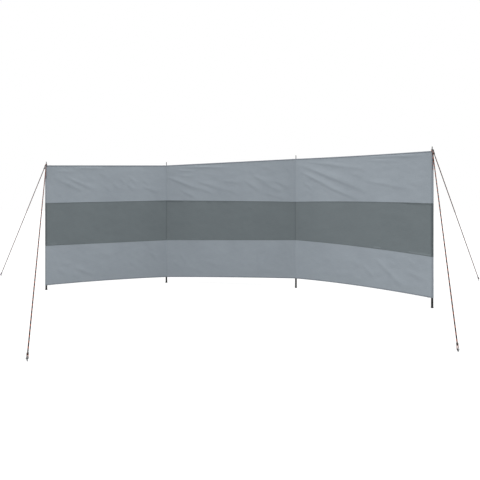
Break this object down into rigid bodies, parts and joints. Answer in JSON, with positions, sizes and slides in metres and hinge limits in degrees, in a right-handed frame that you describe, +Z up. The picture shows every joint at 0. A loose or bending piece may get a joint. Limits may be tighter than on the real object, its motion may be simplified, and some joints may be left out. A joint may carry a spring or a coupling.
{
  "type": "beach windbreak",
  "caption": "Striped cloth windbreak on upright poles, in bays, with pins at the pole tops and taut guy ropes to ground pegs at both ends.",
  "frame": {"origin": "centre of the flat underside of the left end pole's foot, on the ground", "axes": "+X along the middle bay from left to right, seen from the sheltered side; +Y away from the sheltered side; +Z up"},
  "size_m": [6.317, 4.4714, 1.569],
  "materials": {
    "light_cloth": "woven polyester, light grey, matt",
    "dark_cloth": "woven polyester, dark grey, matt",
    "hem_cloth": "turned and stitched cloth, grey",
    "sleeve_cloth": "woven polyester strip, grey",
    "pole_steel": "zinc-plated steel tube, satin",
    "foot_plastic": "moulded, black, fine grain",
    "pin_steel": "turned steel, dull",
    "guy_rope": "braided polypropylene, black with orange fleck",
    "peg_steel": "bent steel rod, dull"
  },
  "bodies": {
    "root": {"bay_1_lower_band": "light_cloth", "bay_1_middle_band": "dark_cloth", "bay_1_upper_band": "light_cloth", "bay_1_bottom_hem": "hem_cloth", "bay_1_top_hem": "hem_cloth", "bay_2_lower_band": "light_cloth", "bay_2_middle_band": "dark_cloth", "bay_2_upper_band": "light_cloth", "bay_2_bottom_hem": "hem_cloth", "bay_2_top_hem": "hem_cloth", "bay_3_lower_band": "light_cloth", "bay_3_middle_band": "dark_cloth", "bay_3_upper_band": "light_cloth", "bay_3_bottom_hem": "hem_cloth", "bay_3_top_hem": "hem_cloth", "pole_sleeve_1": "sleeve_cloth", "pole_1": "pole_steel", "pole_foot_1": "foot_plastic", "pole_pin_1": "pin_steel", "pole_sleeve_2": "sleeve_cloth", "pole_2": "pole_steel", "pole_foot_2": "foot_plastic", "pole_pin_2": "pin_steel", "pole_sleeve_3": "sleeve_cloth", "pole_3": "pole_steel", "pole_foot_3": "foot_plastic", "pole_pin_3": "pin_steel", "pole_sleeve_4": "sleeve_cloth", "pole_4": "pole_steel", "pole_foot_4": "foot_plastic", "pole_pin_4": "pin_steel", "guy_rope_left_back": "guy_rope", "ground_peg_left_back": "peg_steel", "guy_rope_left_front": "guy_rope", "ground_peg_left_front": "peg_steel", "guy_rope_right_front": "guy_rope", "ground_peg_right_front": "peg_steel", "guy_rope_right_back": "guy_rope", "ground_peg_right_back": "peg_steel"}
  },
  "joints": []
}
